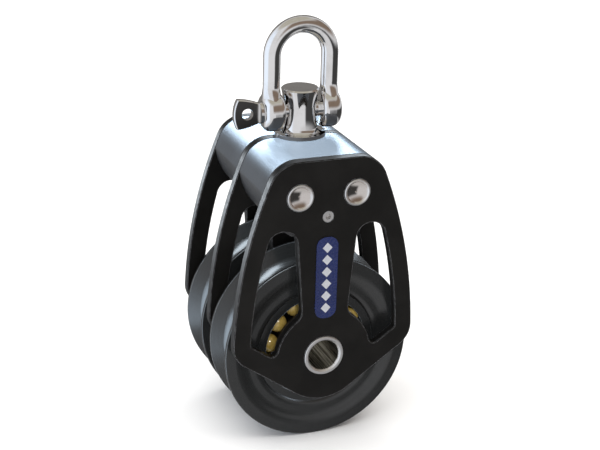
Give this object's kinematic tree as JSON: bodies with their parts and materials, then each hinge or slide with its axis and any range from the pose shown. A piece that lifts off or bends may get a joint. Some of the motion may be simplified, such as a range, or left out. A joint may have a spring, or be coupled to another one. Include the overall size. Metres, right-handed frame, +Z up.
{
  "type": "double sheave block",
  "caption": "Twin-sheave pulley block with ball-bearing sheaves between three pear-shaped windowed plates, a rounded head and a swivelling pin shackle.",
  "frame": {"origin": "centre of the hollow axle, in the middle plate's mid-plane", "axes": "+Z up from the axle to the shackle, +Y along the axle towards the rear plate, +X across the plates; the shackle pin's tab points to -X"},
  "size_m": [0.072, 0.0628, 0.1567],
  "materials": {
    "plate_anodised": "satin black anodised",
    "head_anodised": "satin dark anodised",
    "sheave_anodised": "glossy black anodised",
    "race_aluminium": "dark anodised",
    "ball_polymer": "golden olive bearing polymer",
    "stainless_polished": "mirror polished stainless steel",
    "stainless_brushed": "turned stainless steel",
    "bush_polymer": "natural bearing polymer",
    "badge_blue": "gloss blue"
  },
  "bodies": {
    "shackle": {"shackle_bow": "stainless_polished"},
    "shackle_pin": {"shackle_pin": "stainless_polished"},
    "swivel": {"swivel_post": "stainless_polished", "swivel_nut": "stainless_polished"},
    "block": {"front_side_plate": "plate_anodised", "middle_side_plate": "plate_anodised", "rear_side_plate": "plate_anodised", "front_head_block": "head_anodised", "rear_head_block": "head_anodised", "axle_tube": "stainless_brushed", "axle_end_ring": "stainless_brushed", "front_sheave_front_race": "race_aluminium", "front_sheave_rear_race": "race_aluminium", "rear_sheave_front_race": "race_aluminium", "rear_sheave_rear_race": "race_aluminium", "tie_bolts": "stainless_polished", "tie_nuts": "stainless_polished", "swivel_bush": "bush_polymer", "front_badge": "badge_blue", "rear_badge": "badge_blue"},
    "lock_screw": {"swivel_lock_screw": "stainless_polished"},
    "front_sheave": {"front_sheave": "sheave_anodised"},
    "rear_sheave": {"rear_sheave": "sheave_anodised"},
    "front_balls": {"front_sheave_front_balls": "ball_polymer", "front_sheave_rear_balls": "ball_polymer"},
    "rear_balls": {"rear_sheave_front_balls": "ball_polymer", "rear_sheave_rear_balls": "ball_polymer"}
  },
  "joints": [
    {"name": "shackle_tilt", "type": "hinge", "parent": "shackle", "child": "swivel", "pos_m": [0, 0, 0.0857], "axis": [1, 0, 0], "range_deg": [-100, 100]},
    {"name": "swivel_turn", "type": "hinge", "parent": "swivel", "child": "block", "pos_m": [0, 0, 0.08], "axis": [0, 0, 1], "continuous": true},
    {"name": "shackle_pin_withdraw", "type": "slide", "parent": "shackle", "child": "shackle_pin", "axis": [-1, 0, 0], "range_m": [0, 0.0295]},
    {"name": "lock_screw_travel", "type": "slide", "parent": "block", "child": "lock_screw", "axis": [0, 1, 0], "range_m": [0, 0.0015]},
    {"name": "front_sheave_spin", "type": "hinge", "parent": "block", "child": "front_sheave", "pos_m": [0, -0.0145, 0], "axis": [0, 1, 0], "continuous": true},
    {"name": "rear_sheave_spin", "type": "hinge", "parent": "block", "child": "rear_sheave", "pos_m": [0, 0.0145, 0], "axis": [0, 1, 0], "continuous": true},
    {"name": "front_ball_orbit", "type": "hinge", "parent": "block", "child": "front_balls", "pos_m": [0, -0.0145, 0], "axis": [0, 1, 0], "continuous": true},
    {"name": "rear_ball_orbit", "type": "hinge", "parent": "block", "child": "rear_balls", "pos_m": [0, 0.0145, 0], "axis": [0, 1, 0], "continuous": true}
  ],
  "couplings": [
    {"joint": "front_ball_orbit", "follows": "front_sheave_spin", "ratio": 0.598},
    {"joint": "rear_ball_orbit", "follows": "rear_sheave_spin", "ratio": 0.598}
  ]
}
